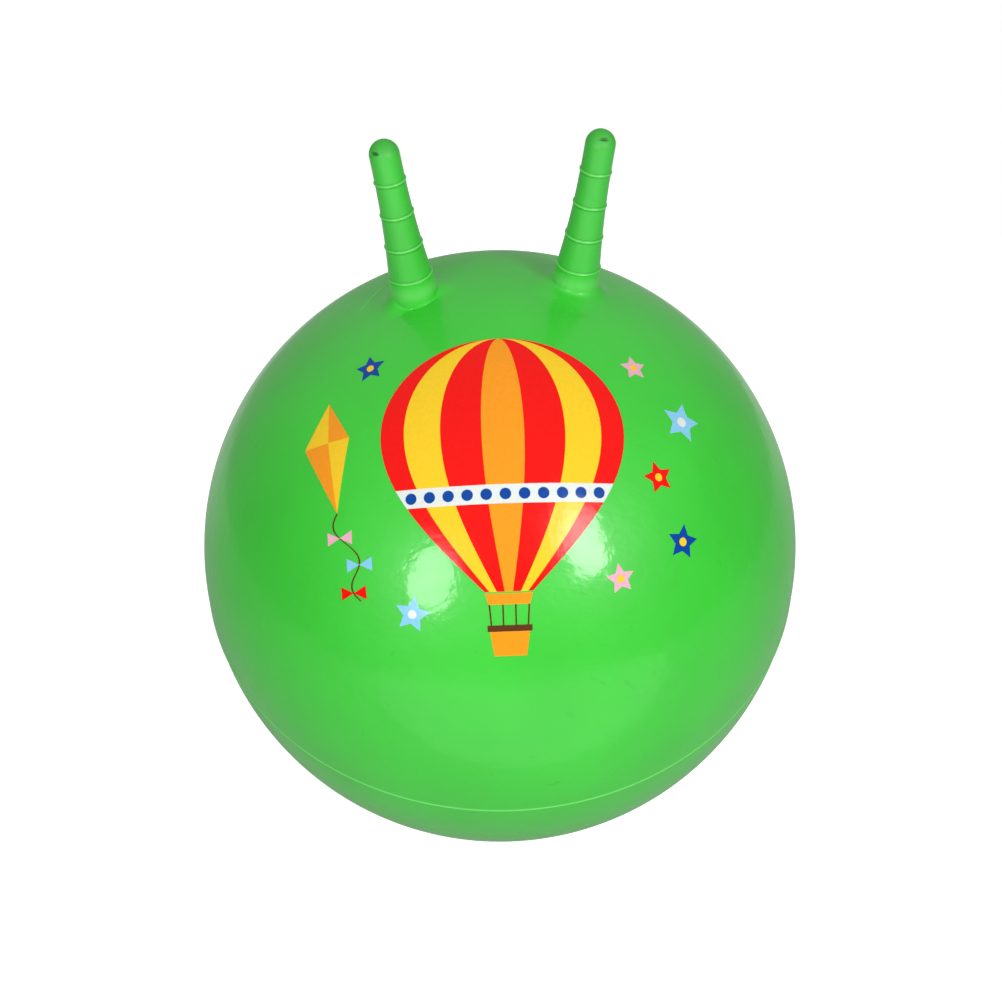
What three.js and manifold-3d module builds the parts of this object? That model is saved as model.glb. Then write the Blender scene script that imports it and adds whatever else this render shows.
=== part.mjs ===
// Hopper ball: a hollow ball of soft vinyl with two ribbed horns to hold and a plugged air valve.
// Millimetres, +Z up, -Y the front. The origin is the middle of the flat patch that rests on the floor.
import * as THREE from "three";
import { mergeVertices } from "three/addons/utils/BufferGeometryUtils.js";
import Module from "manifold-3d";

const wasm = await Module();
wasm.setup();

const { degToRad } = THREE.MathUtils;
const QUARTER_TURN = Math.PI / 2;

// Gap between neighbouring pieces
const FIT_GAP = 0.3;

// Ball, with the flat patch where its own weight presses it on the floor
const BALL_RADIUS = 225;
const BALL_WALL = 1;
const FOOT_RADIUS = 30;

// Parting line between the two mould halves, a fine raised line round the ball
const PARTING_TILT = degToRad(14.8);
const PARTING_TURN = degToRad(-2.6);
const PARTING_WIDTH = 2;
const PARTING_PROUD = 0.6;

// Horns, with heights measured along the horn from the skin of the ball
const HORN_ROOT_ANGLE = degToRad(14);
const HORN_SPLAY = degToRad(7.7);
const HORN_LEAN = degToRad(5.2);
const HORN_BEND_RADIUS = 2200;
const HORN_LENGTH = 114.5;
const HORN_ROOT_RADIUS = 14.7;
const HORN_TIP_RADIUS = 9.8;
const HORN_TAPER_POWER = 2.1;
const HORN_WALL = 2.4;

// Raised rings round each horn; the lowest one is on the soft neck
const RING_COUNT = 4;
const FIRST_RING_HEIGHT = 18.6;
const RING_PITCH = 22.9;
const RING_WIDTH = 2;
const RING_PROUD = 0.7;

// Soft neck that bends at the root of each horn, flared where it leaves the ball
const NECK_ABOVE_RING = 4.5;
const FLARE_BELOW_RING = 11.6;
const FLARE_BURY = 2.5;

// Air valve at the back of the ball
const VALVE_DROP = degToRad(20);
const PLUG_HEAD_RADIUS = 7.5;
const PLUG_HEAD_THICKNESS = 1.8;
const PLUG_HEAD_DOME = 0.7;
const PLUG_STEM_RADIUS = 4.4;
const PLUG_STEM_END_RADIUS = 3.4;
const PLUG_STEM_LENGTH = 18;
const SEAT_LIP_WIDTH = 4;
const SEAT_LIP_FLOOR = 1.2;
const SEAT_WALL = 2.4;
const SEAT_FLANGE_WIDTH = 4;
const SEAT_FLANGE_THICKNESS = 2;
const SEAT_TUBE_LENGTH = 10;
const PAD_PROUD = 0.6;
const PAD_RIM = 6;
const PAD_FLOOR = 3;
const PAD_EDGE = 1.2;

// Steps that the round forms are drawn with
const BALL_SIDES = 48;
const BALL_ARC_STEPS = 6;
const HORN_SIDES = 24;
const VALVE_SIDES = 32;
const SMALL_ARC_STEPS = 3;

// Sizes that follow from the ones above
const BALL_CENTRE = Math.sqrt(BALL_RADIUS ** 2 - FOOT_RADIUS ** 2);
const FLARE_TOP = FIRST_RING_HEIGHT - FLARE_BELOW_RING;
const NECK_TOP = FIRST_RING_HEIGHT + NECK_ABOVE_RING;
const HORN_BOTTOM = NECK_TOP + FIT_GAP;
const DOME_BOTTOM = HORN_LENGTH - HORN_TIP_RADIUS;
const LIP_TOP = PAD_PROUD;
const HEAD_TOP = LIP_TOP;
const HEAD_BOTTOM = HEAD_TOP - PLUG_HEAD_THICKNESS;
const STEM_BOTTOM = HEAD_BOTTOM - PLUG_STEM_LENGTH;
const LIP_FLOOR_TOP = HEAD_BOTTOM - FIT_GAP;
const LIP_BOTTOM = LIP_FLOOR_TOP - SEAT_LIP_FLOOR;
const HEAD_RECESS_RADIUS = PLUG_HEAD_RADIUS + FIT_GAP;
const LIP_RADIUS = HEAD_RECESS_RADIUS + SEAT_LIP_WIDTH;
const BORE_RADIUS = PLUG_STEM_RADIUS + FIT_GAP;
const BORE_END_RADIUS = PLUG_STEM_END_RADIUS + FIT_GAP;
const SEAT_RADIUS = BORE_RADIUS + SEAT_WALL;
const PAD_RECESS_FLOOR = LIP_BOTTOM - FIT_GAP;
const PAD_BOTTOM = PAD_RECESS_FLOOR - PAD_FLOOR;
const PAD_RADIUS = LIP_RADIUS + FIT_GAP + PAD_RIM;
const FLANGE_TOP = PAD_BOTTOM - FIT_GAP;
const FLANGE_BOTTOM = FLANGE_TOP - SEAT_FLANGE_THICKNESS;
const FLANGE_RADIUS = SEAT_RADIUS + SEAT_FLANGE_WIDTH;
const TUBE_BOTTOM = FLANGE_BOTTOM - SEAT_TUBE_LENGTH;

const greenVinyl = new THREE.MeshStandardMaterial({ color: 0x45c83c, roughness: 0.28, metalness: 0 });
const greenHorn = new THREE.MeshStandardMaterial({ color: 0x4bd040, roughness: 0.3, metalness: 0 });
const greenNeck = new THREE.MeshStandardMaterial({ color: 0x48cc3e, roughness: 0.3, metalness: 0 });
const paleSeat = new THREE.MeshStandardMaterial({ color: 0xd9ddd2, roughness: 0.45, metalness: 0 });
const whitePlug = new THREE.MeshStandardMaterial({ color: 0xf2f2ee, roughness: 0.4, metalness: 0 });

function revolve(outline, sides) {
  return new THREE.LatheGeometry(outline, sides).rotateX(QUARTER_TURN);
}

function outlineOf(pairs) {
  return pairs.map(([radius, height]) => new THREE.Vector2(radius, height));
}

function solidOf(geometry) {
  const bare = geometry.clone();
  bare.deleteAttribute("normal");
  bare.deleteAttribute("uv");
  const merged = mergeVertices(bare);
  const vertProperties = merged.attributes.position.array;
  const triVerts = new Uint32Array(merged.index.array);
  return new wasm.Manifold(new wasm.Mesh({ numProp: 3, vertProperties, triVerts }));
}

function geometryOf(solid) {
  const { vertProperties, triVerts } = solid.getMesh();
  const geometry = new THREE.BufferGeometry();
  geometry.setAttribute("position", new THREE.BufferAttribute(vertProperties, 3));
  geometry.setIndex(new THREE.BufferAttribute(triVerts, 1));
  geometry.computeVertexNormals();
  return geometry;
}

function namedMesh(name, geometry, material) {
  const mesh = new THREE.Mesh(geometry, material);
  mesh.name = name;
  return mesh;
}

function moveEachPoint(geometry, move) {
  const points = geometry.attributes.position;
  const point = new THREE.Vector3();
  for (let index = 0; index < points.count; index += 1) {
    point.fromBufferAttribute(points, index);
    move(point);
    points.setXYZ(index, point.x, point.y, point.z);
  }
  return geometry;
}

// The horns curve gently back towards upright
function bendBack(point) {
  const turn = point.z / HORN_BEND_RADIUS;
  const reach = HORN_BEND_RADIUS - point.y;
  point.y = HORN_BEND_RADIUS - reach * Math.cos(turn);
  point.z = reach * Math.sin(turn);
}

function hornRootPoint(side) {
  const across = side * BALL_RADIUS * Math.sin(HORN_ROOT_ANGLE);
  return new THREE.Vector3(across, 0, BALL_CENTRE + BALL_RADIUS * Math.cos(HORN_ROOT_ANGLE));
}

function hornFrame(side) {
  const turn = new THREE.Euler(HORN_LEAN, side * HORN_SPLAY, 0);
  return new THREE.Matrix4().makeRotationFromEuler(turn).setPosition(hornRootPoint(side));
}

function squareFrame(side) {
  return new THREE.Matrix4().makeRotationY(side * HORN_ROOT_ANGLE).setPosition(hornRootPoint(side));
}

function hornRadius(height) {
  const narrowing = (DOME_BOTTOM - height) / (DOME_BOTTOM - FIRST_RING_HEIGHT);
  return HORN_TIP_RADIUS + (HORN_ROOT_RADIUS - HORN_TIP_RADIUS) * narrowing ** HORN_TAPER_POWER;
}

function ringOutline(height) {
  const quarter = RING_WIDTH / 4;
  return [-2, -1, 0, 1, 2].map((step) => {
    const along = height + step * quarter;
    const swell = RING_PROUD * Math.sqrt(1 - (step / 2) ** 2);
    return [hornRadius(along) + swell, along];
  });
}

function ballOutline(radius) {
  const half = new THREE.Path().absarc(0, 0, radius, -QUARTER_TURN, QUARTER_TURN);
  const points = half.getPoints(2 * BALL_ARC_STEPS);
  points[0].x = 0;
  points[points.length - 1].x = 0;
  return points;
}

function ridgedBallOutline(radius) {
  const edge = Math.asin(PARTING_WIDTH / 2 / radius);
  const path = new THREE.Path();
  path.absarc(0, 0, radius, -QUARTER_TURN, -edge);
  path.lineTo(radius + PARTING_PROUD, 0);
  path.lineTo(radius * Math.cos(edge), PARTING_WIDTH / 2);
  path.absarc(0, 0, radius, edge, QUARTER_TURN);
  const points = path.getPoints(BALL_ARC_STEPS);
  points[0].x = 0;
  points[points.length - 1].x = 0;
  return points;
}

function placedBall(outline) {
  const geometry = revolve(outline, BALL_SIDES);
  return solidOf(geometry.rotateX(PARTING_TILT).rotateZ(PARTING_TURN).translate(0, 0, BALL_CENTRE));
}

function below(height) {
  const size = 4 * BALL_RADIUS;
  return solidOf(new THREE.BoxGeometry(size, size, size).translate(0, 0, height - size / 2));
}

function rootBore(side) {
  const wide = hornRadius(FLARE_TOP) - HORN_WALL;
  const narrow = hornRadius(NECK_TOP) - HORN_WALL;
  const under = -FLARE_TOP - FLARE_BURY;
  const above = NECK_TOP + HORN_WALL;
  const outline = outlineOf([
    [0, under],
    [wide, under],
    [wide, FLARE_TOP],
    [narrow, NECK_TOP],
    [narrow, above],
    [0, above],
  ]);
  const geometry = moveEachPoint(revolve(outline, HORN_SIDES), bendBack);
  return solidOf(geometry.applyMatrix4(hornFrame(side)));
}

function valveFrame() {
  const frame = new THREE.Matrix4().makeRotationX(-QUARTER_TURN - VALVE_DROP);
  const behind = BALL_RADIUS * Math.cos(VALVE_DROP);
  return frame.setPosition(0, behind, BALL_CENTRE - BALL_RADIUS * Math.sin(VALVE_DROP));
}

function valvePad() {
  const path = new THREE.Path();
  path.moveTo(0, PAD_BOTTOM);
  path.lineTo(PAD_RADIUS, PAD_BOTTOM);
  path.lineTo(PAD_RADIUS, PAD_PROUD - PAD_EDGE);
  path.absarc(PAD_RADIUS - PAD_EDGE, PAD_PROUD - PAD_EDGE, PAD_EDGE, 0, QUARTER_TURN);
  path.lineTo(0, PAD_PROUD);
  return solidOf(revolve(path.getPoints(SMALL_ARC_STEPS), VALVE_SIDES).applyMatrix4(valveFrame()));
}

function valveHole() {
  const wide = LIP_RADIUS + FIT_GAP;
  const narrow = SEAT_RADIUS + FIT_GAP;
  const above = PAD_PROUD + PAD_EDGE;
  const under = PAD_BOTTOM - PAD_EDGE;
  const outline = outlineOf([
    [0, under],
    [narrow, under],
    [narrow, PAD_RECESS_FLOOR],
    [wide, PAD_RECESS_FLOOR],
    [wide, above],
    [0, above],
  ]);
  return solidOf(revolve(outline, VALVE_SIDES).applyMatrix4(valveFrame()));
}

function ballShell() {
  const skin = placedBall(ridgedBallOutline(BALL_RADIUS)).subtract(below(0));
  const hollow = placedBall(ballOutline(BALL_RADIUS - BALL_WALL)).subtract(below(BALL_WALL));
  const bored = skin.subtract(hollow).subtract(rootBore(-1)).subtract(rootBore(1));
  const shell = bored.add(valvePad()).subtract(valveHole());
  return namedMesh("ball_shell", geometryOf(shell), greenVinyl);
}

// The neck leaves the ball square to its skin and turns into the line of the horn
function hornNeck(name, side) {
  const flareRadius = FLARE_TOP + FLARE_BURY;
  const wide = hornRadius(FLARE_TOP) + flareRadius;
  const root = -FLARE_BURY - BALL_WALL;
  const flare = new THREE.Path();
  flare.moveTo(0, root);
  flare.lineTo(wide, root);
  flare.absarc(wide, FLARE_TOP, flareRadius, -QUARTER_TURN, -Math.PI, true);
  const outline = flare.getPoints(SMALL_ARC_STEPS);
  outline.push(...outlineOf(ringOutline(FIRST_RING_HEIGHT)));
  outline.push(new THREE.Vector2(hornRadius(NECK_TOP), NECK_TOP), new THREE.Vector2(0, NECK_TOP));
  const square = squareFrame(side);
  const leaning = hornFrame(side);
  const inLine = new THREE.Vector3();
  const geometry = moveEachPoint(revolve(outline, HORN_SIDES), (point) => {
    const share = THREE.MathUtils.smoothstep(point.z, 0, FLARE_TOP);
    inLine.copy(point);
    bendBack(inLine);
    inLine.applyMatrix4(leaning);
    point.applyMatrix4(square).lerp(inLine, share);
  });
  const ball = placedBall(ridgedBallOutline(BALL_RADIUS + FIT_GAP));
  const neck = solidOf(geometry).subtract(ball).subtract(rootBore(side));
  return namedMesh(name, geometryOf(neck), greenNeck);
}

function horn(name, side) {
  const inside = new THREE.Path().absarc(0, DOME_BOTTOM, HORN_TIP_RADIUS - HORN_WALL, QUARTER_TURN, 0, true);
  const outside = new THREE.Path().absarc(0, DOME_BOTTOM, HORN_TIP_RADIUS, 0, QUARTER_TURN);
  const outline = inside.getPoints(SMALL_ARC_STEPS);
  const outerSide = [[hornRadius(HORN_BOTTOM), HORN_BOTTOM]];
  const innerSide = [[hornRadius(HORN_BOTTOM) - HORN_WALL, HORN_BOTTOM]];
  for (let ring = 1; ring < RING_COUNT; ring += 1) {
    const height = FIRST_RING_HEIGHT + ring * RING_PITCH;
    const between = height - RING_PITCH / 2;
    outerSide.push([hornRadius(between), between], ...ringOutline(height));
    innerSide.unshift([hornRadius(height) - HORN_WALL, height]);
  }
  outline.push(...outlineOf(innerSide), ...outlineOf(outerSide), ...outside.getPoints(SMALL_ARC_STEPS));
  outline[0].x = 0;
  outline[outline.length - 1].x = 0;
  const geometry = moveEachPoint(revolve(outline, HORN_SIDES), bendBack);
  return namedMesh(name, geometryOf(solidOf(geometry.applyMatrix4(hornFrame(side)))), greenHorn);
}

function valveSeat() {
  const outline = outlineOf([
    [BORE_END_RADIUS, TUBE_BOTTOM],
    [SEAT_RADIUS, TUBE_BOTTOM],
    [SEAT_RADIUS, FLANGE_BOTTOM],
    [FLANGE_RADIUS, FLANGE_BOTTOM],
    [FLANGE_RADIUS, FLANGE_TOP],
    [SEAT_RADIUS, FLANGE_TOP],
    [SEAT_RADIUS, LIP_BOTTOM],
    [LIP_RADIUS, LIP_BOTTOM],
    [LIP_RADIUS, LIP_TOP],
    [HEAD_RECESS_RADIUS, LIP_TOP],
    [HEAD_RECESS_RADIUS, LIP_FLOOR_TOP],
    [BORE_RADIUS, LIP_FLOOR_TOP],
    [BORE_END_RADIUS, TUBE_BOTTOM],
  ]);
  return namedMesh("valve_seat", geometryOf(solidOf(revolve(outline, VALVE_SIDES))), paleSeat);
}

function valvePlug() {
  const path = new THREE.Path();
  path.moveTo(0, STEM_BOTTOM);
  path.lineTo(PLUG_STEM_END_RADIUS, STEM_BOTTOM);
  path.lineTo(PLUG_STEM_RADIUS, HEAD_BOTTOM);
  path.lineTo(PLUG_HEAD_RADIUS, HEAD_BOTTOM);
  path.lineTo(PLUG_HEAD_RADIUS, HEAD_TOP);
  path.quadraticCurveTo(PLUG_HEAD_RADIUS / 2, HEAD_TOP + PLUG_HEAD_DOME, 0, HEAD_TOP + PLUG_HEAD_DOME);
  const outline = path.getPoints(2 * SMALL_ARC_STEPS);
  return namedMesh("valve_plug", geometryOf(solidOf(revolve(outline, VALVE_SIDES))), whitePlug);
}

function valveGroup() {
  const group = new THREE.Group();
  group.add(valveSeat(), valvePlug());
  group.applyMatrix4(valveFrame());
  return group;
}

const hopperBall = new THREE.Group();
hopperBall.add(ballShell(), valveGroup());
hopperBall.add(hornNeck("left_horn_neck", -1), horn("left_horn", -1));
hopperBall.add(hornNeck("right_horn_neck", 1), horn("right_horn", 1));

export default hopperBall;
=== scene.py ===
"""Looks of the hopper ball: smooth vinyl skins, printed picture, valve, floor, light and camera."""

import math

import bpy
import numpy as np
from mathutils import Matrix, Vector


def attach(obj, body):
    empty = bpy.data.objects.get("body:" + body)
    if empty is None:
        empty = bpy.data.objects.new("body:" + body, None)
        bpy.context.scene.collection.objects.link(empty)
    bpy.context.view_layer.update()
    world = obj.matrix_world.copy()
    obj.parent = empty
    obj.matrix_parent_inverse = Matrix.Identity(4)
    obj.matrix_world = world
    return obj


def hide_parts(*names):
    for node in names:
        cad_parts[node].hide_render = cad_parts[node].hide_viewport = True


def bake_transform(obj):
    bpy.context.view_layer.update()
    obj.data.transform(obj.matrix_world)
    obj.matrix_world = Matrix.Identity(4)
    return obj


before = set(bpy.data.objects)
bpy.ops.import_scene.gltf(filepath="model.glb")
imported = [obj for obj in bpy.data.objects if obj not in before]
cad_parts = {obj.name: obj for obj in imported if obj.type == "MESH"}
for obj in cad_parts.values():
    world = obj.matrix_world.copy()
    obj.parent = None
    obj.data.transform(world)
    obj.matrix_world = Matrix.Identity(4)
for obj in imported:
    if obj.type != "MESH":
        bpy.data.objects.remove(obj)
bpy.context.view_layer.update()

FULL_TURN = 2 * math.pi
QUARTER_TURN = math.pi / 2

# Ball, in metres like all lengths here but the print's, with the same sizes as in the solids
BALL_R = 0.225
FOOT_R = 0.030
CENTRE = np.array([0.0, 0.0, math.sqrt(BALL_R**2 - FOOT_R**2)])
PARTING_TILT = math.radians(14.8)
PARTING_TURN = math.radians(-2.6)

# Skin of the ball, a little smaller than the ball to stay within the box of the faceted solid
SKIN_R = 0.22474
SKIN_COLS = 320
SKIN_ROWS = 84

# Mould line round the skin, its own close rows of points, and where the even rows begin
LINE_PROUD = 0.00058
LINE_HALF = 0.0008
LINE_ROWS = [0.0004, 0.0007, 0.001, 0.0014, 0.002, 0.0035]
LINE_REACH = 0.0075

# Fine crease in the skin beside the left horn, between two directions from the ball's middle; the pale line
# tint is painted along it as a highlight
CREASE_START = (-0.318, 0.188, 0.929)
CREASE_END = (-0.4135, 0.0398, 0.9096)
CREASE_HALF = 0.0013
CREASE_PROUD = 0.0003
# share of the pale line tint painted on the crease as a highlight
CREASE_HIGHLIGHT_SHARE = 0.4
CREASE_ROWS = 33
CREASE_COLS = 16

# Horns, with heights measured along the horn from the skin of the ball
ROOT_ANGLE = math.radians(14)
SPLAY = math.radians(7.7)
LEAN = math.radians(5.2)
BEND_R = 2.2
HORN_LENGTH = 0.1145
HORN_ROOT_R = 0.0147
HORN_TIP_R = 0.0098
TAPER_POWER = 2.1
DOME_BOTTOM = HORN_LENGTH - HORN_TIP_R

# Raised rings round a horn, each a bead with a painted highlight between two thin lines of painted shade
RING_COUNT = 4
FIRST_RING = 0.0186
RING_PITCH = 0.0229
RING_HEIGHTS = [FIRST_RING + RING_PITCH * i for i in range(RING_COUNT)]
RING_HALF = 0.0009
RING_PROUD = 0.0007
BEAD_HALF = 1.2 * RING_HALF
GROOVE_SHADE_AWAY = 1.5 * RING_HALF
GROOVE_SHADE_HALF = 0.42 * RING_HALF

# Flare at a horn's root: the four control values of its curve from the horn to its edge, sunk in the skin
FLARE_TOP = 0.007
FLARE_SKIRT = 0.018
FLARE_SPREAD = (0, 0.02, 0.3, 1)
FLARE_HEIGHT = (1, 0.58, 0.1, 0)
FLARE_SINK = 0.00004

# Tuck of the left flare under the front of its horn
TUCK_TOP = -0.0012
TUCK_HALF_TURN = math.radians(58)
TUCK_POWER = 4
LEFT_TUCK_TURN = math.radians(-72)

# Slit-like moulding vent low on the dome of each tip: its turn round the horn and its rise up the dome
LEFT_VENT = (math.radians(-133), math.radians(27))
RIGHT_VENT = (math.radians(-86), math.radians(42))
VENT_HALF_WIDTH = 0.0038
VENT_HALF_HEIGHT = 0.0014
VENT_REACH = 0.004
VENT_DEPTH = 0.0013

# Rows and columns of points on a horn; the grip's even rows make way for close ones at each ring
HORN_COLS = 112
FLARE_ROWS = 26
NECK_ROWS = 8
GRIP_ROWS = 70
DOME_ROWS = 56
RING_ROWS = 27
GRIP_BOTTOM = FLARE_TOP + 0.0012
RING_ROWS_REACH = 2.25 * RING_HALF
RING_ROWS_CLEAR = 2.3 * RING_HALF

# Painted highlight on the neck below the rings (the stretch mark): its strength, height and half width; and
# how far the marks for the horn's material reach
SKIRT_FADE = 0.5 * FLARE_SKIRT
NECK_HIGHLIGHT_SHARE = 0.55
NECK_HIGHLIGHT_HEIGHT = 0.55 * FIRST_RING
NECK_HIGHLIGHT_HALF = 0.27 * FIRST_RING
TIP_FADE = 0.45 * HORN_TIP_R

# Air valve at the back, with heights measured outwards from the ball's surface
VALVE_DROP = math.radians(20)
VALVE_COLS = 96
VALVE_HOLE_R = 0.0135
FIT_GAP = 0.0003
HEAD_R = 0.0075
HEAD_TOP = 0.0006
HEAD_BOTTOM = -0.0012
HEAD_RIDGE_R = 0.0048
HEAD_RIDGE_TOP = 0.0011
HEAD_DISH_R = 0.0042
HEAD_DISH_EDGE = 0.0008
HEAD_DISH_TOP = 0.0009
HEAD_ROUND = 0.0006
STEM_R = 0.0044
STEM_END_R = 0.0034
STEM_BOTTOM = -0.0192
LIP_R = 0.0118
LIP_FLOOR = HEAD_BOTTOM - FIT_GAP
LIP_BOTTOM = -0.0027
SEAT_R = 0.0071
SEAT_ROUND = 0.0004
FLANGE_R = 0.0111
FLANGE_TOP = -0.0063
FLANGE_BOTTOM = -0.0083
TUBE_BOTTOM = -0.0186
LAND_BOTTOM = -0.0062
LAND_TOP_R = 0.0178
LAND_FOOT_R = 0.0186
LAND_FOOT_PROUD = 0.0002
LAND_EDGE_R = 0.0206
LAND_EDGE_SINK = 0.0003
LAND_ROUND = 0.0008

# Print on the front, laid out in millimetres about its own middle, and the thickness of its ink in metres
PRINT_AZIMUTH = math.radians(-2.9)
PRINT_ELEVATION = math.radians(48.5)
MM = 0.001
INK_BOTTOM = 0.00002
INK_TOP = 0.00009
INK_LAYER = 0.00004
INK_SHARP_ANGLE = math.radians(40)
INK_RING_SPACING = 4

# Colours of the vinyl, tints painted on it as highlight and shade, and the gloss of the ball's skin
GREEN = (0.026, 0.55, 0.021)
# pale tint of the mould line, also painted on the crease as a highlight
LINE_AND_HIGHLIGHT_GREEN = (0.16, 0.74, 0.14)
# pale tint painted on the neck below the rings as a highlight
NECK_HIGHLIGHT_GREEN = (0.16, 0.68, 0.14)
HORN_GREEN = (0.036, 0.53, 0.032)
# Tints painted on the horns: painted shade beside the ring beads, painted highlight on the beads, painted
# shade on the tip domes and in the vents
HORN_PAINTED_LIGHT = (
    ("groove", (0.018, 0.36, 0.015)),
    ("bead", (0.085, 0.68, 0.072)),
    ("tip", (0.022, 0.43, 0.017)),
    ("pit", (0.010, 0.10, 0.006)),
)
BALL_SHINE = 0.6
BALL_COAT_ROUGH = 0.12

# Points closer to the axis than this close the end of a turned form
ON_AXIS = 1e-7

# Most of a side that the rounding of one of its corners takes up
ROUNDING_SHARE = 0.45

# Places of the colour sockets on a mix node
MIX_SHARE = 0
MIX_FIRST = 6
MIX_SECOND = 7
MIX_RESULT = 2


# Meshes


def rot_x(angle):
    c, s = math.cos(angle), math.sin(angle)
    return np.array([[1, 0, 0], [0, c, -s], [0, s, c]])


def rot_y(angle):
    c, s = math.cos(angle), math.sin(angle)
    return np.array([[c, 0, s], [0, 1, 0], [-s, 0, c]])


def rot_z(angle):
    c, s = math.cos(angle), math.sin(angle)
    return np.array([[c, -s, 0], [s, c, 0], [0, 0, 1]])


def make_mesh(name, points, faces, material, smooth=True):
    mesh = bpy.data.meshes.new(name)
    mesh.from_pydata([tuple(point) for point in points], [], faces)
    mesh.update()
    if smooth:
        mesh.polygons.foreach_set("use_smooth", [True] * len(mesh.polygons))
    mesh.materials.append(material)
    obj = bpy.data.objects.new(name, mesh)
    bpy.context.scene.collection.objects.link(obj)
    return obj


def mark_points(obj, **marks):
    """Stores numbers from 0 to 1 on the points of a mesh, for its material."""
    for name, values in marks.items():
        layer = obj.data.attributes.new(name, "FLOAT", "POINT")
        layer.data.foreach_set("value", np.asarray(values, np.float32))


def lathe(profile, cols):
    """Points and faces of a profile of (radius, height) turned about Z; a radius of 0 closes an end."""
    points, faces, rows = [], [], []
    turns = np.linspace(0, FULL_TURN, cols, endpoint=False)
    for radius, height in profile:
        if radius < ON_AXIS:
            rows.append([len(points)])
            points.append((0.0, 0.0, height))
        else:
            rows.append(list(range(len(points), len(points) + cols)))
            points.extend((radius * math.cos(turn), radius * math.sin(turn), height) for turn in turns)
    for lower, upper in zip(rows, rows[1:]):
        for j in range(cols):
            k = (j + 1) % cols
            if len(lower) == 1:
                faces.append((lower[0], upper[k], upper[j]))
            elif len(upper) == 1:
                faces.append((lower[j], lower[k], upper[0]))
            else:
                faces.append((lower[j], lower[k], upper[k], upper[j]))
    return np.array(points), faces


def rounded(corners, radius, steps=5):
    """A profile with its inner corners rounded."""
    out = [corners[0]]
    for triple in zip(corners, corners[1:], corners[2:]):
        before, at, after = (np.array(corner, float) for corner in triple)
        back = np.linalg.norm(before - at)
        ahead = np.linalg.norm(after - at)
        reach = min(radius, back * ROUNDING_SHARE, ahead * ROUNDING_SHARE)
        start = at + (before - at) / back * reach
        end = at + (after - at) / ahead * reach
        for t in np.linspace(0, 1, steps):
            out.append(tuple((1 - t) ** 2 * start + 2 * t * (1 - t) * at + t * t * end))
    out.append(corners[-1])
    return out


def sphere_drop(sphere, radius):
    """Height of a sphere's surface over the plane that touches its top, at a radius from there."""
    return math.sqrt(sphere**2 - radius**2) - sphere


def bezier(t, a, b, c, d):
    return (1 - t) ** 3 * a + 3 * (1 - t) ** 2 * t * b + 3 * (1 - t) * t**2 * c + t**3 * d


def from_ball(azimuth, elevation):
    """The way out from the ball's middle; azimuth 0 is the front and turns towards +X."""
    level = math.cos(elevation)
    return np.array([math.sin(azimuth) * level, -math.cos(azimuth) * level, math.sin(elevation)])


# Nodes of materials


def add(tree, kind, **values):
    """A new node, with values for its sockets or its settings."""
    node = tree.nodes.new(kind)
    for key, value in values.items():
        if key in node.inputs:
            node.inputs[key].default_value = value
        else:
            setattr(node, key, value)
    return node


def noise(tree, scale, detail, rough=0.5):
    where = add(tree, "ShaderNodeTexCoord")
    node = add(tree, "ShaderNodeTexNoise", Scale=scale, Detail=detail, Roughness=rough)
    tree.links.new(where.outputs["Object"], node.inputs["Vector"])
    return node.outputs["Fac"]


def streaks(tree, turn, scale, stretch):
    """Noise drawn out into fine streaks that run one way."""
    where = add(tree, "ShaderNodeTexCoord")
    mapping = add(tree, "ShaderNodeMapping", Rotation=turn, Scale=(1, stretch, 1))
    node = add(tree, "ShaderNodeTexNoise", Scale=scale, Detail=4.0, Roughness=0.6)
    tree.links.new(where.outputs["Object"], mapping.inputs["Vector"])
    tree.links.new(mapping.outputs["Vector"], node.inputs["Vector"])
    return node.outputs["Fac"]


def ramp(tree, value, start, end):
    """A colour that goes from one to another; each end is a position and a colour."""
    node = add(tree, "ShaderNodeValToRGB")
    for element, (position, colour) in zip(node.color_ramp.elements, (start, end)):
        element.position = position
        element.color = (*colour, 1)
    tree.links.new(value, node.inputs["Fac"])
    return node.outputs["Color"]


def between(tree, value, low, high):
    """A value from 0 to 1 made to run from low to high."""
    node = add(tree, "ShaderNodeMapRange", **{"To Min": low, "To Max": high})
    tree.links.new(value, node.inputs["Value"])
    return node.outputs["Result"]


def eased(tree, value, start, end, low, high):
    """A value that eases from low to high as another one goes from start to end."""
    node = add(
        tree,
        "ShaderNodeMapRange",
        interpolation_type="SMOOTHSTEP",
        **{"From Min": start, "From Max": end, "To Min": low, "To Max": high},
    )
    tree.links.new(value, node.inputs["Value"])
    return node.outputs["Result"]


def bump(tree, height, distance, strength, normal=None):
    node = add(tree, "ShaderNodeBump", Strength=strength, Distance=distance)
    tree.links.new(height, node.inputs["Height"])
    if normal is not None:
        tree.links.new(normal, node.inputs["Normal"])
    return node.outputs["Normal"]


def mixed(tree, share, colour, plain):
    """A colour with a share of a plain one mixed in."""
    mix = add(tree, "ShaderNodeMix", data_type="RGBA")
    tree.links.new(share, mix.inputs[MIX_SHARE])
    tree.links.new(colour, mix.inputs[MIX_FIRST])
    mix.inputs[MIX_SECOND].default_value = (*plain, 1)
    return mix.outputs[MIX_RESULT]


def mark(tree, name):
    """The numbers that a mesh carries on its points under a name."""
    return add(tree, "ShaderNodeAttribute", attribute_name=name).outputs["Fac"]


def shaded(colour, factor):
    return [min(1, channel * factor) for channel in colour]


# Materials


def new_material(name):
    material = bpy.data.materials.new(name)
    material.use_nodes = True
    tree = material.node_tree
    return material, tree, tree.nodes["Principled BSDF"]


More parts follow.
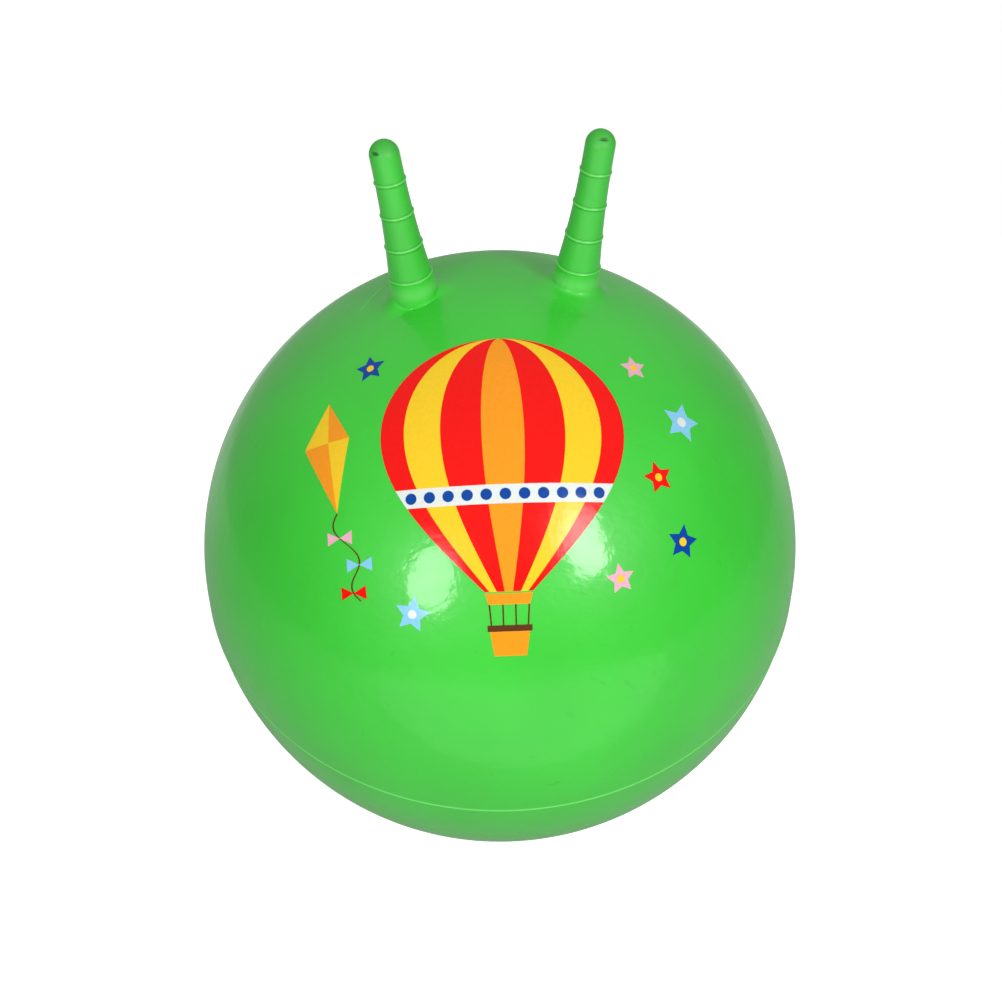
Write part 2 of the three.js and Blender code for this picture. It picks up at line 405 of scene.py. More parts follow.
def worn_skin(tree):
    """Normals of a blown skin: gentle waves, shallow dents, scuffs and a fine grain."""
    waves = noise(tree, scale=18, detail=2)
    normal = bump(tree, waves, distance=0.004, strength=0.11)
    dents = noise(tree, scale=75, detail=3, rough=0.6)
    normal = bump(tree, dents, distance=0.0008, strength=0.42, normal=normal)
    scuffs = streaks(tree, turn=(0.5, 0.3, 0.9), scale=42, stretch=7)
    normal = bump(tree, scuffs, distance=0.0003, strength=0.42, normal=normal)
    grain = noise(tree, scale=900, detail=2)
    return bump(tree, grain, distance=0.00005, strength=0.06, normal=normal)


def vinyl(name, colour, shine, coat_rough):
    """Soft vinyl: a broad soft gloss under a thin shiny skin, slight clouds and an uneven, scuffed face."""
    material, tree, shader = new_material(name)
    clouds = noise(tree, scale=14, detail=4)
    tint = ramp(tree, clouds, (0.3, shaded(colour, 0.95)), (0.7, shaded(colour, 1.05)))
    scuffs = streaks(tree, turn=(0.4, 0.2, 0.1), scale=60, stretch=9)
    scuff_share = ramp(tree, scuffs, (0.66, (0, 0, 0)), (0.78, (0.5, 0.5, 0.5)))
    tint = mixed(tree, scuff_share, tint, shaded(colour, 0.55))
    tree.links.new(tint, shader.inputs["Base Color"])
    rough = between(tree, noise(tree, scale=9, detail=3), low=0.42, high=0.54)
    tree.links.new(rough, shader.inputs["Roughness"])
    shader.inputs["Specular IOR Level"].default_value = 0.55
    wear = streaks(tree, turn=(0.2, 0.6, 0.5), scale=26, stretch=5)
    coat = between(tree, wear, low=shine * 0.7, high=shine * 1.3)
    tree.links.new(coat, shader.inputs["Coat Weight"])
    shader.inputs["Coat Roughness"].default_value = coat_rough
    skin = worn_skin(tree)
    tree.links.new(skin, shader.inputs["Normal"])
    tree.links.new(skin, shader.inputs["Coat Normal"])
    return material


def tint_marks(material, marks):
    """Tints a material where the mesh carries marks from 0 to 1."""
    tree = material.node_tree
    shader = tree.nodes["Principled BSDF"]
    tint = shader.inputs["Base Color"].links[0].from_socket
    for name, colour in marks:
        tint = mixed(tree, mark(tree, name), tint, colour)
    tree.links.new(tint, shader.inputs["Base Color"])


def ball_vinyl():
    """The vinyl of the ball, paler along the mould line; the same pale tint is painted on the crease beside
    the left horn as a highlight.
    """
    material = vinyl("green_vinyl", GREEN, BALL_SHINE, BALL_COAT_ROUGH)
    tint_marks(material, [("line", LINE_AND_HIGHLIGHT_GREEN)])
    return material


def neck_vinyl():
    """The vinyl of the horns' roots: the ball's at the skirt, duller towards the neck, with a painted
    highlight (the stretch mark) on the neck below the rings.
    """
    material = vinyl("green_vinyl_neck", GREEN, BALL_SHINE, BALL_COAT_ROUGH)
    # painted highlight on the neck, carried by the stretch mark
    tint_marks(material, [("stretch", NECK_HIGHLIGHT_GREEN)])
    tree = material.node_tree
    shader = tree.nodes["Principled BSDF"]
    coat = between(tree, mark(tree, "skirt"), low=0.06, high=BALL_SHINE)
    tree.links.new(coat, shader.inputs["Coat Weight"])
    return material


def horn_vinyl():
    """The vinyl of the grips: duller than the ball, rougher at the tips, with painted highlight on the ring
    beads and painted shade beside them, on the tip domes and in the vent.
    """
    material = vinyl("green_vinyl_horn", HORN_GREEN, shine=0.05, coat_rough=0.33)
    # painted highlight and shade on the horn
    tint_marks(material, HORN_PAINTED_LIGHT)
    tree = material.node_tree
    shader = tree.nodes["Principled BSDF"]
    rough = add(tree, "ShaderNodeMath", operation="MULTIPLY_ADD")
    share, duller, base = rough.inputs
    tree.links.new(mark(tree, "tip"), share)
    duller.default_value = 0.25
    tree.links.new(between(tree, noise(tree, scale=30, detail=3), low=0.38, high=0.48), base)
    tree.links.new(rough.outputs[0], shader.inputs["Roughness"])
    shader.inputs["Specular IOR Level"].default_value = 1.0
    return material


def ink(name, colour):
    """Screen-printed ink: an even film with faint mottling, on the waves of the vinyl under it."""
    material, tree, shader = new_material(name)
    mottle = noise(tree, scale=420, detail=3)
    tint = ramp(tree, mottle, (0.35, shaded(colour, 0.97)), (0.65, shaded(colour, 1.02)))
    tree.links.new(tint, shader.inputs["Base Color"])
    rough = between(tree, noise(tree, scale=60, detail=3), low=0.15, high=0.24)
    tree.links.new(rough, shader.inputs["Roughness"])
    tree.links.new(worn_skin(tree), shader.inputs["Normal"])
    shader.inputs["IOR"].default_value = 1.5
    shader.inputs["Specular IOR Level"].default_value = 0.25
    return material


def satin_plastic(name, colour, rough):
    """Satin moulded plastic with a fine eggshell grain and slightly dirty low spots."""
    material, tree, shader = new_material(name)
    dirt = noise(tree, scale=160, detail=4)
    tint = ramp(tree, dirt, (0.3, shaded(colour, 0.9)), (0.6, colour))
    tree.links.new(tint, shader.inputs["Base Color"])
    gloss = between(tree, noise(tree, scale=300, detail=3), low=rough - 0.06, high=rough + 0.06)
    tree.links.new(gloss, shader.inputs["Roughness"])
    grain = noise(tree, scale=1500, detail=2)
    tree.links.new(bump(tree, grain, distance=0.00006, strength=0.25), shader.inputs["Normal"])
    return material


green = ball_vinyl()
green_neck = neck_vinyl()
green_horn = horn_vinyl()
seat_plastic = satin_plastic("seat_plastic", (0.72, 0.76, 0.68), rough=0.42)
plug_plastic = satin_plastic("plug_plastic", (0.86, 0.86, 0.83), rough=0.38)

INKS = {
    "red": ink("ink_red", (0.83, 0.004, 0.002)),
    "yellow": ink("ink_yellow", (0.86, 0.56, 0.018)),
    "orange": ink("ink_orange", (0.87, 0.30, 0.012)),
    "blue": ink("ink_blue", (0.001, 0.055, 0.31)),
    "pink": ink("ink_pink", (0.79, 0.40, 0.50)),
    "sky": ink("ink_sky", (0.23, 0.56, 0.78)),
    "white": ink("ink_white", (0.70, 0.74, 0.71)),
    "brown": ink("ink_brown", (0.10, 0.035, 0.010)),
}


# Ball


def line_share(latitude):
    """How far a latitude is up on the mould line, from 0 to 1."""
    return np.exp(-((latitude * SKIN_R / LINE_HALF) ** 2))


def ball_skin():
    """The ball with its mould line, flat where it stands and open behind the valve."""
    close = np.array(LINE_ROWS) / SKIN_R
    even = np.linspace(LINE_REACH / SKIN_R, QUARTER_TURN, SKIN_ROWS)
    half = np.concatenate([close, even])
    latitudes = np.concatenate([-half[::-1], [0.0], half])
    radii = SKIN_R + LINE_PROUD * line_share(latitudes)
    profile = list(zip(radii * np.cos(latitudes), radii * np.sin(latitudes)))
    points, faces = lathe(profile, SKIN_COLS)
    line = line_share(np.arcsin(points[:, 2] / np.linalg.norm(points, axis=1)))
    turn = rot_z(PARTING_TURN) @ rot_x(PARTING_TILT)
    points = points @ turn.T + CENTRE
    outward = valve_turn()[:, 2]
    middles = np.array([points[list(face)].mean(0) for face in faces]) - CENTRE
    aside = np.linalg.norm(np.cross(middles, outward), axis=1)
    opened = (aside < VALVE_HOLE_R) & (middles @ outward > 0)
    faces = [face for face, gone in zip(faces, opened) if not gone]
    points[:, 2] = np.maximum(points[:, 2], 0.0)
    obj = make_mesh("ball_skin", points, faces, green)
    mark_points(obj, line=line)
    return obj


def skin_crease():
    """A fine crease that stands up from the skin, with a painted highlight along it."""
    start, end = (np.array(way) / np.linalg.norm(way) for way in (CREASE_START, CREASE_END))
    across = np.cross(end, start)
    across /= np.linalg.norm(across)
    turns = np.linspace(0, math.pi, CREASE_ROWS)
    profile = [(math.sin(turn), (1 - math.cos(turn)) / 2) for turn in turns]
    points, faces = lathe(profile, CREASE_COLS)
    along = start + (end - start) * points[:, 2:]
    along /= np.linalg.norm(along, axis=1)[:, None]
    height = SKIN_R + points[:, :1] * CREASE_PROUD
    points = CENTRE + along * height + across * points[:, 1:2] * CREASE_HALF
    obj = make_mesh("skin_fold", points, faces, green)
    # painted highlight: part of the pale line tint on the crease
    mark_points(obj, line=[CREASE_HIGHLIGHT_SHARE] * len(points))
    return obj


# Horns


def horn_radius(height):
    narrowing = max(0.0, (DOME_BOTTOM - height) / (DOME_BOTTOM - FIRST_RING))
    return HORN_TIP_R + (HORN_ROOT_R - HORN_TIP_R) * narrowing**TAPER_POWER


def ring_away(height):
    return min(abs(height - ring) for ring in RING_HEIGHTS)


def bead_share(height):
    """How far a height is up on a ring bead, from 0 to 1."""
    away = ring_away(height) / BEAD_HALF
    return (1 - away * away) ** 1.5 if away < 1 else 0.0


def groove_share(height):
    """How close a height is to the thin line of painted shade on either side of a ring bead, from 0 to 1.
    """
    return math.exp(-(((ring_away(height) - GROOVE_SHADE_AWAY) / GROOVE_SHADE_HALF) ** 2))


def horn_profile(flare_top, skirt):
    """(radius, height) from the edge of the flare on the ball to the tip, the same count for any flare."""
    top = horn_radius(flare_top)
    rise = flare_top - sphere_drop(SKIN_R, top)
    out = []
    for t in np.linspace(1, 0, FLARE_ROWS):
        radius = top + skirt * bezier(t, *FLARE_SPREAD)
        out.append((radius, sphere_drop(SKIN_R, radius) + rise * bezier(t, *FLARE_HEIGHT) - FLARE_SINK))
    grip = set(np.linspace(GRIP_BOTTOM, DOME_BOTTOM, GRIP_ROWS))
    for ring in RING_HEIGHTS:
        grip -= {height for height in grip if abs(height - ring) < RING_ROWS_CLEAR}
        grip |= set(ring + np.linspace(-RING_ROWS_REACH, RING_ROWS_REACH, RING_ROWS))
    neck = np.linspace(flare_top, GRIP_BOTTOM, NECK_ROWS)[1:-1]
    for height in [*neck, *sorted(grip)]:
        out.append((horn_radius(height) + RING_PROUD * bead_share(height), height))
    for angle in np.linspace(0, QUARTER_TURN, DOME_ROWS)[1:-1]:
        out.append((HORN_TIP_R * math.cos(angle), DOME_BOTTOM + HORN_TIP_R * math.sin(angle)))
    out.append((0.0, HORN_LENGTH))
    return out


def bend_back(points):
    turn = points[:, 2] / BEND_R
    reach = BEND_R - points[:, 1]
    return np.stack([points[:, 0], BEND_R - reach * np.cos(turn), reach * np.sin(turn)], 1)


def horn_root(side):
    return CENTRE + SKIN_R * np.array([side * math.sin(ROOT_ANGLE), 0, math.cos(ROOT_ANGLE)])


def horn_place(points, side):
    """Puts points of an upright horn on the ball: square to the skin at the foot, leaning above."""
    leaning = bend_back(points) @ (rot_x(LEAN) @ rot_y(side * SPLAY)).T
    square = points @ rot_y(side * ROOT_ANGLE).T
    t = np.clip(points[:, 2] / FLARE_TOP, 0, 1)[:, None]
    share = t * t * (3 - 2 * t)
    return horn_root(side) + square * (1 - share) + leaning * share


def upright_horn(tuck, tuck_turn):
    """Points and faces of a horn with its neck; tuck is how far the flare is drawn in, from 0 to 1."""
    points, faces = lathe(horn_profile(FLARE_TOP, FLARE_SKIRT), HORN_COLS)
    for column in range(HORN_COLS):
        turn = FULL_TURN * column / HORN_COLS
        off = math.remainder(turn - tuck_turn, FULL_TURN)
        share = tuck * math.exp(-((off / TUCK_HALF_TURN) ** TUCK_POWER))
        flare_top = FLARE_TOP + (TUCK_TOP - FLARE_TOP) * share
        profile = horn_profile(flare_top, FLARE_SKIRT * (1 - share))
        for row, (radius, height) in enumerate(profile[:-1]):
            points[row * HORN_COLS + column] = (radius * math.cos(turn), radius * math.sin(turn), height)
    return points, faces


def sink_vent(points, turn, rise):
    """The points with the vent sunk in the tip, and how deep each point lies in it, from 0 to 1."""
    out = rot_z(turn) @ rot_y(-rise) @ np.array([1.0, 0, 0])
    across = np.array([-math.sin(turn), math.cos(turn), 0])
    upright = np.cross(out, across)
    gap = points - (np.array([0, 0, DOME_BOTTOM]) + out * HORN_TIP_R)
    away = (gap @ across / VENT_HALF_WIDTH) ** 2
    away += (gap @ upright / VENT_HALF_HEIGHT) ** 2
    away += (gap @ out / VENT_REACH) ** 2
    pit = np.clip(1 - away, 0, 1)
    return points - out * (VENT_DEPTH * pit)[:, None], pit


def horn_skin(side, name, vent, tuck=0.0, tuck_turn=0.0):
    """One horn with its neck, which bends between the ball and the horn's own body."""
    points, faces = upright_horn(tuck, tuck_turn)
    points, pit = sink_vent(points, *vent)
    heights = points[:, 2]
    obj = make_mesh(name, horn_place(points, side), faces, green_horn)
    obj.data.materials.append(green_neck)
    for face in obj.data.polygons:
        below_rings = heights[list(face.vertices)].max() < FIRST_RING - RING_HALF
        face.material_index = 1 if below_rings else 0
    mark_points(
        obj,
        skirt=np.clip((np.hypot(points[:, 0], points[:, 1]) - HORN_ROOT_R) / SKIRT_FADE, 0, 1),
        # stretch: painted highlight on the neck below the rings
        stretch=NECK_HIGHLIGHT_SHARE * np.exp(-(((heights - NECK_HIGHLIGHT_HEIGHT) / NECK_HIGHLIGHT_HALF) ** 2)),
        # groove: painted shade in thin lines beside each ring bead
        groove=[groove_share(height) for height in heights],
        # bead: painted highlight along each ring bead
        bead=[bead_share(height) if height < DOME_BOTTOM else 0.0 for height in heights],
        # tip: painted shade on the dome, which the material also makes rougher
        tip=np.clip((heights - DOME_BOTTOM) / TIP_FADE, 0, 1),
        # pit: painted shade in the vent
        pit=pit,
    )
    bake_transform(obj)
    return obj


# Valve


def valve_turn():
    return rot_x(-QUARTER_TURN - VALVE_DROP)


def valve_piece(name, profile, material):
    points, faces = lathe(profile, VALVE_COLS)
    origin = CENTRE + BALL_R * valve_turn()[:, 2]
    return make_mesh(name, points @ valve_turn().T + origin, faces, material)


def valve_land():
    """The thicker ring of vinyl that the bush sits in, let into the skin at its edge."""
    corners = [
        (SEAT_R + FIT_GAP, LAND_BOTTOM),
        (SEAT_R + FIT_GAP, LIP_BOTTOM - FIT_GAP),
        (LIP_R + FIT_GAP, LIP_BOTTOM - FIT_GAP),
        (LIP_R + FIT_GAP, HEAD_TOP),
        (LAND_TOP_R, HEAD_TOP),
        (LAND_FOOT_R, sphere_drop(BALL_R, LAND_FOOT_R) + LAND_FOOT_PROUD),
        (LAND_EDGE_R, sphere_drop(BALL_R, LAND_EDGE_R) - LAND_EDGE_SINK),
    ]
    return valve_piece("valve_land", rounded(corners, LAND_ROUND)[::-1], green)


def valve_seat():
    """The bush: a lip round the plug's head, a flange behind the land and a tapered bore."""
    corners = [
        (STEM_END_R + FIT_GAP, TUBE_BOTTOM),
        (SEAT_R, TUBE_BOTTOM),
        (SEAT_R, FLANGE_BOTTOM),
        (FLANGE_R, FLANGE_BOTTOM),
        (FLANGE_R, FLANGE_TOP),
        (SEAT_R, FLANGE_TOP),
        (SEAT_R, LIP_BOTTOM),
        (LIP_R, LIP_BOTTOM),
        (LIP_R, HEAD_TOP),
        (HEAD_R + FIT_GAP, HEAD_TOP),
        (HEAD_R + FIT_GAP, LIP_FLOOR),
        (STEM_R + FIT_GAP, LIP_FLOOR),
        (STEM_END_R + FIT_GAP, TUBE_BOTTOM),
    ]
    return valve_piece("valve_bush", rounded(corners, SEAT_ROUND), seat_plastic)


def valve_plug():
    """The stopper: a tapered stem and a flat head with a raised ridge round a shallow dish."""
    corners = [
        (0.0, STEM_BOTTOM),
        (STEM_END_R, STEM_BOTTOM),
        (STEM_R, HEAD_BOTTOM),
        (HEAD_R, HEAD_BOTTOM),
        (HEAD_R, HEAD_TOP),
        (HEAD_RIDGE_R, HEAD_RIDGE_TOP),
        (HEAD_DISH_R, HEAD_DISH_EDGE),
        (0.0, HEAD_DISH_TOP),
    ]
    return valve_piece("valve_stopper", rounded(corners, HEAD_ROUND), plug_plastic)


# Print


def on_ball(flat, lift):
    """Points of a flat picture, in millimetres, wrapped on the front of the ball."""
    out = from_ball(PRINT_AZIMUTH, PRINT_ELEVATION)
    right = np.array([math.cos(PRINT_AZIMUTH), math.sin(PRINT_AZIMUTH), 0.0])
    up = np.cross(out, right)
    flat = np.asarray(flat, float) * MM
    reach = np.maximum(np.linalg.norm(flat, axis=1), 1e-9)
    turn = (reach / SKIN_R)[:, None]
    along = (flat[:, :1] * right + flat[:, 1:] * up) / reach[:, None]
    return CENTRE + (SKIN_R + lift) * (np.cos(turn) * out + np.sin(turn) * along)


def film(name, shape, colour, layer=0):
    """A thin closed film of ink on the skin."""
    flat, faces = shape
    count = len(flat)
    points = np.concatenate([on_ball(flat, INK_TOP + layer * INK_LAYER), on_ball(flat, INK_BOTTOM)])
    edges = [edge for face in faces for edge in zip(face, face[1:] + face[:1])]
    known = set(edges)
    walls = [(b, a, a + count, b + count) for a, b in edges if (b, a) not in known]
    under = [tuple(i + count for i in face[::-1]) for face in faces]
    obj = make_mesh("print_" + name, points, faces + under + walls, INKS[colour])
    obj.data.set_sharp_from_angle(angle=INK_SHARP_ANGLE)
    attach(obj, "ball")
    return obj


def patch(rows):
    """Points and faces of equal rows of points, rows running upwards."""
    cols = len(rows[0])
    flat = [point for row in rows for point in row]
    faces = [
        (i * cols + j, i * cols + j + 1, (i + 1) * cols + j + 1, (i + 1) * cols + j)
        for i in range(len(rows) - 1)
        for j in range(cols - 1)
    ]
    return flat, faces


def slab(low, high, rows, cols=9):
    """A patch between two level edges, each given as its middle, half width and height."""
    low, high = np.array(low), np.array(high)
    out = []
    for t in np.linspace(0, 1, rows):
        middle, half, height = low + (high - low) * t
        out.append([(middle + half * f, height) for f in np.linspace(-1, 1, cols)])
    return patch(out)


def disc(outline, centre=None):
    """Points and faces of an outline filled towards its centre, which is its mean unless given."""
    outline = np.asarray(outline, float)
    centre = outline.mean(0) if centre is None else np.asarray(centre, float)
    count = len(outline)
    size = np.linalg.norm(outline - centre, axis=1).max()
    rings = max(2, int(size / INK_RING_SPACING))
    flat = [centre]
    for k in range(1, rings + 1):
        flat.extend(centre + (outline - centre) * k / rings)
    faces = [(0, 1 + j, 1 + (j + 1) % count) for j in range(count)]
    for k in range(rings - 1):
        a = 1 + k * count
        b = a + count
        faces += [(a + j, b + j, b + (j + 1) % count, a + (j + 1) % count) for j in range(count)]
    return flat, faces


def along_edges(corners, steps):
    """Points along the sides of a closed shape."""
    corners = np.asarray(corners, float)
    shares = np.linspace(0, 1, steps, endpoint=False)
    return [a + (b - a) * t for a, b in zip(corners, np.roll(corners, -1, 0)) for t in shares]


def dot(x, y, radius, sides=24):
    turns = np.linspace(0, FULL_TURN, sides, endpoint=False)
    return disc(np.stack([x + radius * np.cos(turns), y + radius * np.sin(turns)], 1), (x, y))


def star(x, y, radius, turn, arms=5, inner=0.5):
    corners = []
    for i in range(2 * arms):
        angle = QUARTER_TURN + turn + math.pi * i / arms
        reach = radius if i % 2 == 0 else radius * inner
        corners.append((x + reach * math.cos(angle), y + reach * math.sin(angle)))
    return disc(along_edges(corners, 5), (x, y))


BALLOON_MOUTH = -70
BALLOON_MIDDLE = 33
BALLOON_TOP = 100.5
MOUTH_HALF = 15
MIDDLE_HALF = 78.5
CROWN_END = math.radians(89.5)
STRIPE_EDGES = [-1, -0.8, -0.5, -0.17, 0.17, 0.5, 0.8, 1]
STRIPE_COLOURS = ["red", "yellow", "red", "orange", "red", "yellow", "red"]
BAND_HEIGHTS = (-16, -12, -8, -4)
BAND_DOT_HEIGHT = -10
BAND_DOT_RADIUS = 3.6
BAND_DOT_PLACES = np.linspace(-0.9, 0.9, 11)


def balloon_half_width(height):
    """Half the width of the balloon: an ellipse above its middle, a cosine down to its mouth."""
    if height > BALLOON_MIDDLE:
        rise = (height - BALLOON_MIDDLE) / (BALLOON_TOP - BALLOON_MIDDLE)
        return MIDDLE_HALF * math.sqrt(1 - rise * rise)
    fall = (BALLOON_MIDDLE - height) / (BALLOON_MIDDLE - BALLOON_MOUTH)
    return MOUTH_HALF + (MIDDLE_HALF - MOUTH_HALF) * math.cos(fall * QUARTER_TURN)


def balloon_rows(heights, left, right, cols):
    """Rows of points across the balloon, between two shares of its half width."""
    shares = np.linspace(left, right, cols)
    return [[(balloon_half_width(height) * f, height) for f in shares] for height in heights]


def print_balloon():
    """A striped hot-air balloon with a band of dots."""
    below = np.linspace(BALLOON_MOUTH, BALLOON_MIDDLE, 36)
    crown = np.sin(np.linspace(0, CROWN_END, 36))[1:]
    heights = [*below, *(BALLOON_MIDDLE + crown * (BALLOON_TOP - BALLOON_MIDDLE))]
    for i, colour in enumerate(STRIPE_COLOURS):
        rows = balloon_rows(heights, STRIPE_EDGES[i], STRIPE_EDGES[i + 1], cols=9)
        film(f"balloon_{i}", patch(rows), colour)
    film("balloon_band", patch(balloon_rows(BAND_HEIGHTS, -1, 1, cols=61)), "white", layer=1)
    half = balloon_half_width(BAND_DOT_HEIGHT)
    for i, share in enumerate(BAND_DOT_PLACES):
        film(f"band_dot_{i}", dot(half * share, BAND_DOT_HEIGHT, BAND_DOT_RADIUS), "blue", layer=2)


def print_basket():
    """The skirt, ropes and basket under the balloon."""
    film("balloon_skirt", slab((0, 13, -78), (0, 15, -71), rows=3), "orange")
    for i, (top, foot) in enumerate(((-12.5, -11.5), (12.5, 11.5), (-4, -4), (4, 4))):
        film(f"rope_{i}", slab((foot, 0.5, -93), (top, 0.5, -78), rows=5, cols=2), "brown")
    film("basket", slab((0, 10.5, -111), (0, 13, -93), rows=6), "orange")
    film("basket_rim", slab((0, 14.2, -95), (0, 14.2, -91), rows=3), "brown", layer=1)


# Place, radius, turn and colour of each printed star, and the share of it that its middle dot takes
STARS = (
    (92, 82, 10, 0.15, "pink"),
    (124, 44, 15, -0.2, "sky"),
    (101, 2, 11, 0.3, "red"),
    (118, -40, 12, -0.1, "blue"),
    (72, -64, 10, 0.2, "pink"),
    (-62, -82, 12, -0.25, "sky"),
    (-88, 88, 11, 0.1, "blue"),
)
STAR_DOT_SHARE = 0.24


def print_stars():
    for i, (x, y, radius, turn, colour) in enumerate(STARS):
        film(f"star_{i}", star(x, y, radius, turn), colour)
        middle = "white" if colour == "sky" else "yellow"
        film(f"star_dot_{i}", dot(x, y, radius * STAR_DOT_SHARE), middle, layer=1)


KITE_TOP = (-118, 66)
KITE_RIGHT = (-101, 37)
KITE_FOOT = (-110, -14)
KITE_LEFT = (-136, 34)
KITE_MIDDLE = (-117, 36)
KITE_PANELS = (
    (KITE_RIGHT, KITE_TOP, "orange"),
    (KITE_FOOT, KITE_RIGHT, "yellow"),
    (KITE_LEFT, KITE_FOOT, "orange"),
    (KITE_TOP, KITE_LEFT, "yellow"),
)
TAIL_ACROSS = 16
TAIL_DROP = 58
TAIL_SWAY = 6
TAIL_SWAY_TURN = 9.0
TAIL_HALF = 0.6
BOW_LENGTH = 9
BOW_HALF = 4.5
BOWS = ((9, "pink"), (19, "sky"), (29, "red"))


def print_kite():
    """A kite of four panels, with bows at some of the points of its tail."""
    for i, (first, second, colour) in enumerate(KITE_PANELS):
        film(f"kite_{i}", disc(along_edges([KITE_MIDDLE, first, second], 8)), colour)
    t = np.linspace(0, 1, 33)
    tail_x = KITE_FOOT[0] + TAIL_ACROSS * t - TAIL_SWAY * np.sin(t * TAIL_SWAY_TURN)
    tail_y = KITE_FOOT[1] - TAIL_DROP * t
    rows = [[(x - TAIL_HALF, y), (x + TAIL_HALF, y)] for x, y in zip(tail_x[::-1], tail_y[::-1])]
    film("kite_tail", patch(rows), "brown")
    for i, (point, colour) in enumerate(BOWS):
        x, y = tail_x[point], tail_y[point]
        for j, way in enumerate((-1, 1)):
            end = x + way * BOW_LENGTH
            corners = [(x, y), (end, y - way * BOW_HALF), (end, y + way * BOW_HALF)]
            film(f"bow_{i}_{j}", disc(along_edges(corners, 6)), colour, layer=1)


# Floor, light and camera

FLOOR_R = 1.25
FLOOR_DEPTH = 0.0002
FLOOR_SIDES = 96
FLOOR_GREY = (0.46, 0.46, 0.46, 1)
FLOOR_SEEN = 0.86


def floor_material():
    """A pale floor that the camera sees as white, apart from the shade under the ball."""
    material = bpy.data.materials.new("floor_white")
    material.use_nodes = True
    tree = material.node_tree
    tree.nodes.clear()
    path = add(tree, "ShaderNodeLightPath")
    seen = add(tree, "ShaderNodeMath", operation="MULTIPLY")
    tree.links.new(path.outputs["Is Camera Ray"], seen.inputs[0])
    seen.inputs[1].default_value = FLOOR_SEEN
    # reflections show a bright floor behind the ball and a dim one in front
    where = add(tree, "ShaderNodeNewGeometry")
    parts = add(tree, "ShaderNodeSeparateXYZ")
    tree.links.new(where.outputs["Position"], parts.inputs[0])
    behind = eased(tree, parts.outputs["Y"], start=0.15, end=0.7, low=0.03, high=0.3)
    strength = add(tree, "ShaderNodeMath", operation="MULTIPLY_ADD")
    mirrored, brightness, plus = strength.inputs
    tree.links.new(path.outputs["Is Glossy Ray"], mirrored)
    tree.links.new(behind, brightness)
    tree.links.new(seen.outputs[0], plus)
    glow = add(tree, "ShaderNodeEmission", Color=(1, 1, 1, 1))
    tree.links.new(strength.outputs[0], glow.inputs["Strength"])
    diffuse = add(tree, "ShaderNodeBsdfDiffuse", Color=FLOOR_GREY)
    lit = add(tree, "ShaderNodeAddShader")
    tree.links.new(diffuse.outputs[0], lit.inputs[0])
    tree.links.new(glow.outputs[0], lit.inputs[1])
    out = add(tree, "ShaderNodeOutputMaterial")
    tree.links.new(lit.outputs[0], out.inputs["Surface"])
    return material


def pale_floor():
    points, faces = lathe([(FLOOR_R, -FLOOR_DEPTH), (0.0, -FLOOR_DEPTH)], FLOOR_SIDES)
    return make_mesh("floor", points, faces, floor_material(), smooth=False)


def studio_world():
    """A room with a brighter ceiling and far wall, which the camera sees as plain white."""
    world = bpy.data.worlds.new("studio")
    bpy.context.scene.world = world
    world.use_nodes = True
    tree = world.node_tree
    where = add(tree, "ShaderNodeTexCoord")
    parts = add(tree, "ShaderNodeSeparateXYZ")
    tree.links.new(where.outputs["Generated"], parts.inputs[0])
    sky = eased(tree, parts.outputs["Z"], start=0.0, end=0.9, low=0.18, high=0.52)
    wall = eased(tree, parts.outputs["Y"], start=0.1, end=0.9, low=0.0, high=1.0)
    aside = add(tree, "ShaderNodeMath", operation="ABSOLUTE")
    tree.links.new(parts.outputs["X"], aside.inputs[0])
    wings = eased(tree, aside.outputs[0], start=0.05, end=0.35, low=0.1, high=0.2)
    room = add(tree, "ShaderNodeMath", operation="MULTIPLY_ADD")
    for value, socket in zip((wall, wings, sky), room.inputs):
        tree.links.new(value, socket)
    path = add(tree, "ShaderNodeLightPath")
    strength = add(tree, "ShaderNodeMix", data_type="FLOAT", B=1.0)
    tree.links.new(path.outputs["Is Camera Ray"], strength.inputs["Factor"])
    tree.links.new(room.outputs[0], strength.inputs["A"])
    back = tree.nodes["Background"]
    back.inputs["Color"].default_value = (1, 1, 1, 1)
    tree.links.new(strength.outputs["Result"], back.inputs["Strength"])


def lamp(name, place, turn, wide, tall, power):
    """A round soft lamp that the camera doesn't see."""
    data = bpy.data.lights.new(name, "AREA")
    data.shape = "ELLIPSE"
    data.size = wide
    data.size_y = tall
    data.energy = power
    obj = bpy.data.objects.new(name, data)
    obj.location = place
    obj.rotation_mode = "QUATERNION"
    obj.rotation_quaternion = turn
    obj.visible_camera = False
    bpy.context.scene.collection.objects.link(obj)
    return obj


def aimed_lamp(name, azimuth, elevation, distance, wide, tall, power):
    """A lamp that faces the ball's middle, with its angles in degrees."""
    way = Vector(from_ball(math.radians(azimuth), math.radians(elevation)))
    place = Vector(CENTRE) + way * distance
    return lamp(name, place, way.to_track_quat("Z", "Y"), wide, tall, power)


CARD_PLACE = (0.06, -1.2, 0.001)
FACING_UP = (0, 1, 0, 0)


def studio_lamps():
    aimed_lamp("softbox_left", -29.7, 24, distance=1.7, wide=0.50, tall=0.70, power=10.4)
    aimed_lamp("softbox_right", 29.5, 33, distance=1.7, wide=0.43, tall=0.72, power=14)
    fill = aimed_lamp("fill_back", 180, 15, distance=2.0, wide=1.2, tall=1.2, power=8)
    fill.visible_glossy = False
    lamp("floor_card", CARD_PLACE, FACING_UP, wide=1.8, tall=1.6, power=3.5)


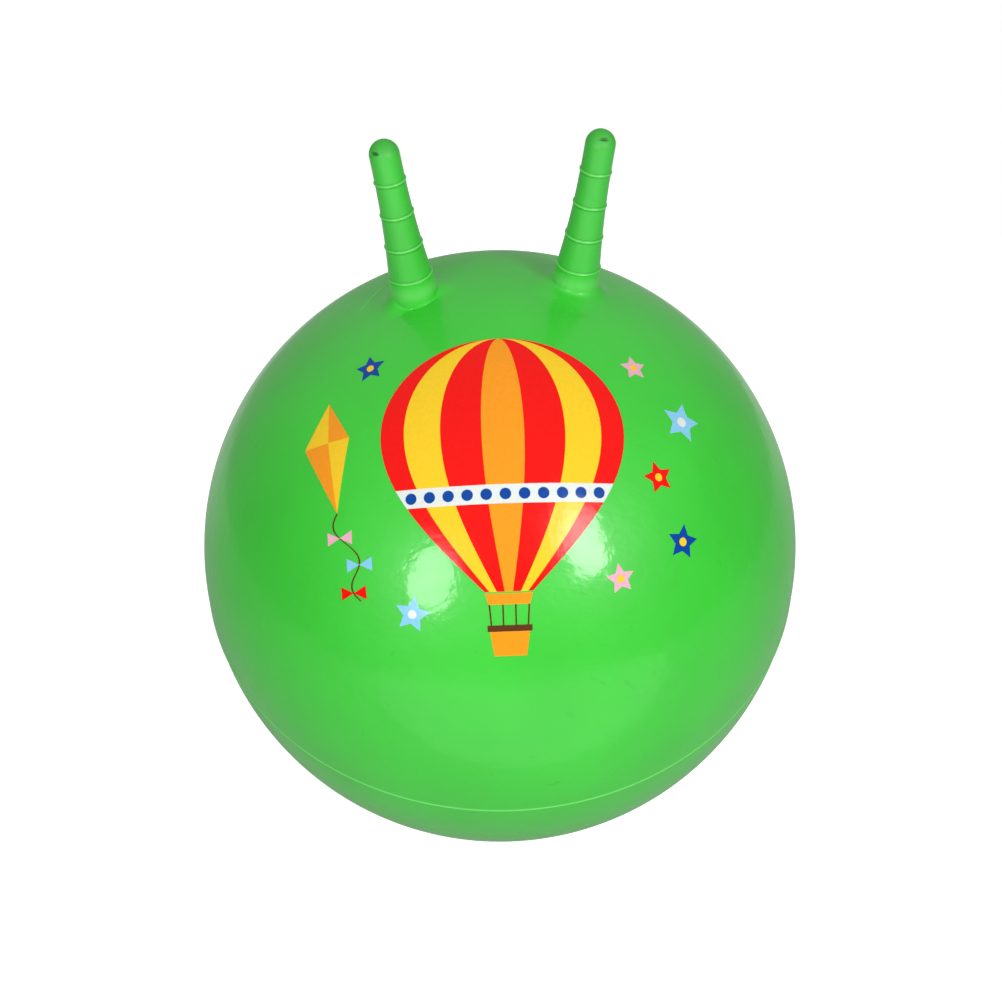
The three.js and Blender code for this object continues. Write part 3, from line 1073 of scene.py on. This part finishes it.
# Camera: where it stands round the ball, and where the ball's middle falls in the picture
CAMERA_AZIMUTH = math.radians(-4.34)
CAMERA_ELEVATION = math.radians(38.13)
CAMERA_ROLL = math.radians(-1.15)
CAMERA_DISTANCE = 4.6 * BALL_R
FOCAL_PX = 1329.0
FRAME_PX = 1002.0
BALL_PX = (500.0, 543.7)
SENSOR_MM = 36


def add_camera():
    middle = Vector(CENTRE)
    back_way = Vector(from_ball(CAMERA_AZIMUTH, CAMERA_ELEVATION))
    level = Vector((math.cos(CAMERA_AZIMUTH), math.sin(CAMERA_AZIMUTH), 0))
    upright = back_way.cross(level)
    side_way = level * math.cos(CAMERA_ROLL) + upright * math.sin(CAMERA_ROLL)
    up_way = upright * math.cos(CAMERA_ROLL) - level * math.sin(CAMERA_ROLL)
    place = middle + back_way * CAMERA_DISTANCE
    per_px = CAMERA_DISTANCE / FOCAL_PX
    across = (FRAME_PX / 2 - BALL_PX[0]) * per_px
    down = (FRAME_PX / 2 - BALL_PX[1]) * per_px
    aim = middle + side_way * across - up_way * down
    z_axis = (place - aim).normalized()
    x_axis = (side_way - z_axis * side_way.dot(z_axis)).normalized()
    y_axis = z_axis.cross(x_axis)
    camera = bpy.data.objects.new("camera", bpy.data.cameras.new("camera"))
    camera.data.sensor_width = SENSOR_MM
    camera.data.lens = FOCAL_PX / FRAME_PX * SENSOR_MM
    turn = Matrix((x_axis, y_axis, z_axis)).transposed().to_4x4()
    camera.matrix_world = Matrix.Translation(place) @ turn
    bpy.context.scene.collection.objects.link(camera)
    bpy.context.scene.camera = camera


# Building the pieces

ball = ball_skin()
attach(ball, "ball")
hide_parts("ball_shell")
crease = skin_crease()
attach(crease, "ball")

left = horn_skin(-1, "left_horn_skin", LEFT_VENT, tuck=1.0, tuck_turn=LEFT_TUCK_TURN)
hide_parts("left_horn", "left_horn_neck")
right = horn_skin(1, "right_horn_skin", RIGHT_VENT)
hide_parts("right_horn", "right_horn_neck")

land = valve_land()
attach(land, "ball")
bush = valve_seat()
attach(bush, "ball")
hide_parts("valve_seat")
stopper = valve_plug()
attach(stopper, "plug")
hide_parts("valve_plug")

print_balloon()
print_basket()
print_stars()
print_kite()

pale_floor()
studio_world()
studio_lamps()
add_camera()
bpy.context.scene.view_settings.view_transform = "Standard"
